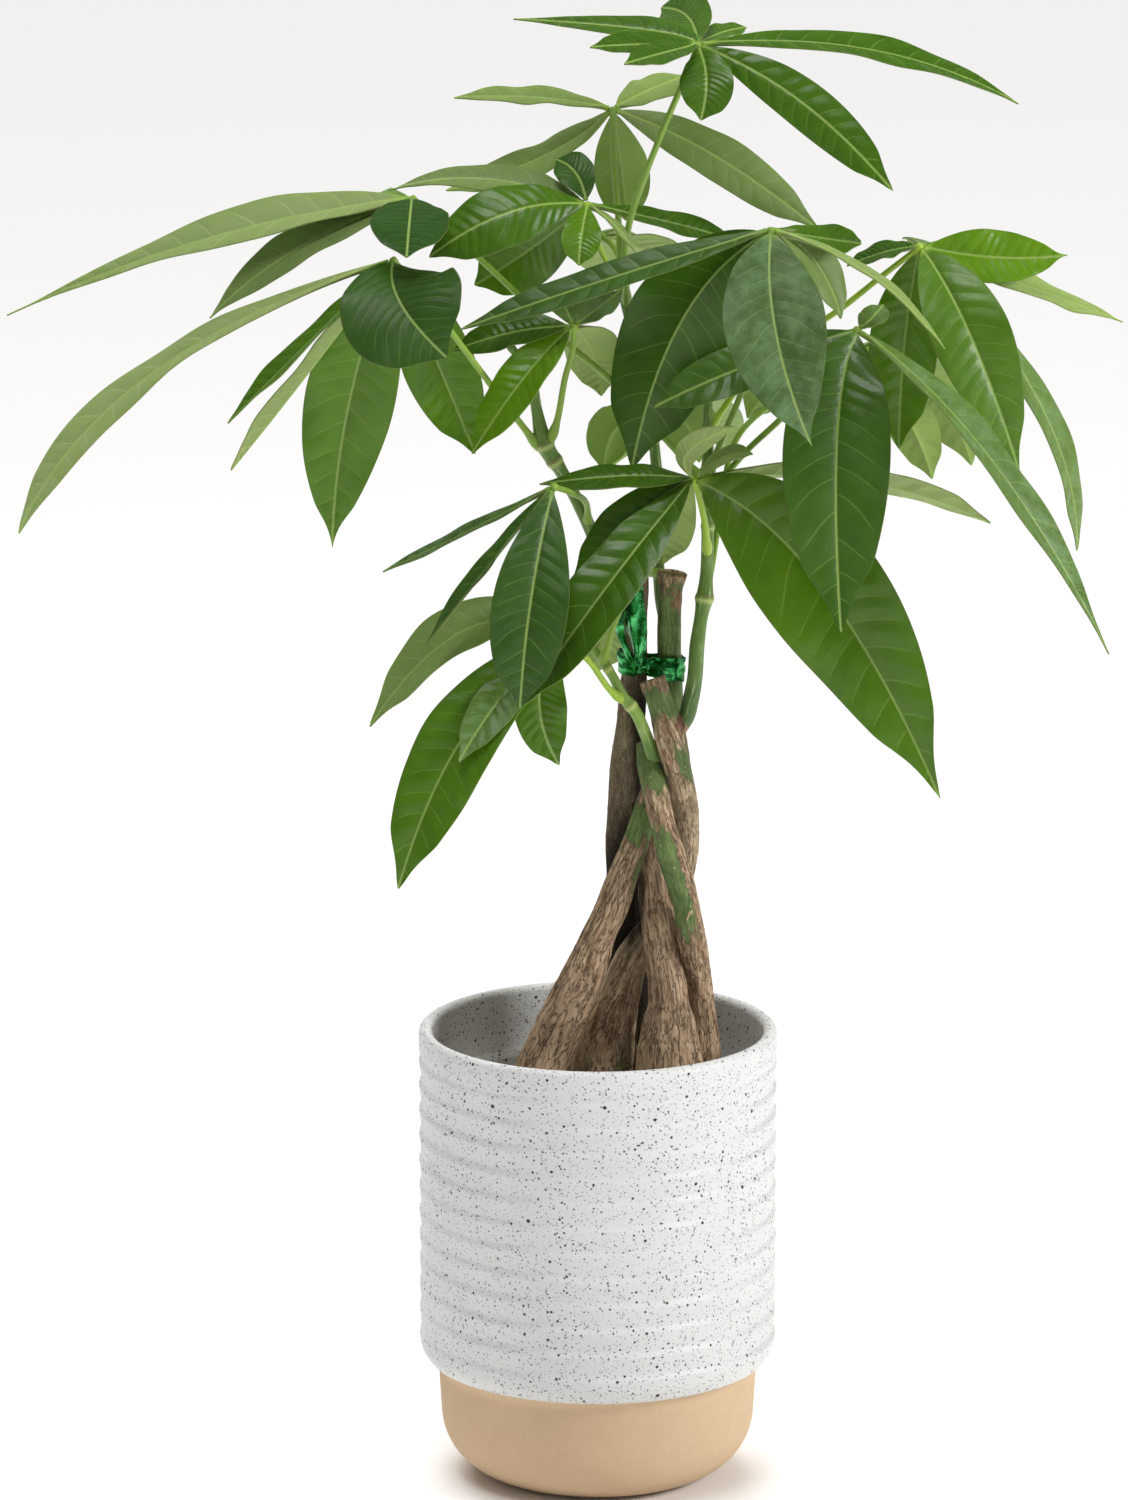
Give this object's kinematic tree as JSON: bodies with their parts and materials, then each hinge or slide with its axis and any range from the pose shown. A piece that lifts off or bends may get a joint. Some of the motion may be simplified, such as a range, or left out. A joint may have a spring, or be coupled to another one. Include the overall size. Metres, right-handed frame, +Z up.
{
  "type": "potted money tree",
  "caption": "Braided-stem money tree with palmate leaves in a ribbed, speckled ceramic planter with a bare tan base.",
  "frame": {"origin": "middle of the planter's flat foot, on the surface that it stands on", "axes": "+Z up along the planter's axis, the object's longest direction; the front of the plant faces -Y, and +X is its right as seen from the front"},
  "size_m": [0.3985, 0.1774, 0.5393],
  "materials": {
    "glaze": "white speckled satin glaze over a bare tan base",
    "plastic": "thin dark green nursery plastic",
    "soil": "dark crumbly potting soil with bark chips",
    "bark": "grey-brown fissured bark with green young patches",
    "shoot": "smooth green stem",
    "ribbon": "crinkled metallic green film",
    "leaf": "satin green leaf with paler veins"
  },
  "bodies": {
    "root": {"pot": "glaze", "grower_pot": "plastic", "soil": "soil", "stem_left_front": "bark", "stem_middle_front": "bark", "stem_crossing": "bark", "stem_back_to_right": "bark", "stem_left_back": "bark", "shoot_right": "shoot", "shoot_middle": "shoot", "shoot_left": "shoot", "shoot_low": "shoot", "tie": "ribbon", "leaf_top_right": "leaf", "leaf_top_left": "leaf", "leaf_young": "leaf", "leaf_upper_left": "leaf", "leaf_left": "leaf", "leaf_middle": "leaf", "leaf_centre": "leaf", "leaf_right": "leaf", "leaf_front_right": "leaf", "leaf_front": "leaf", "leaf_low_middle": "leaf", "leaf_low_left": "leaf", "leaf_low_right": "leaf", "leaf_back_right": "leaf", "leaf_back_middle": "leaf", "leaf_back_low": "leaf", "leaf_back_upper": "leaf"}
  },
  "joints": []
}
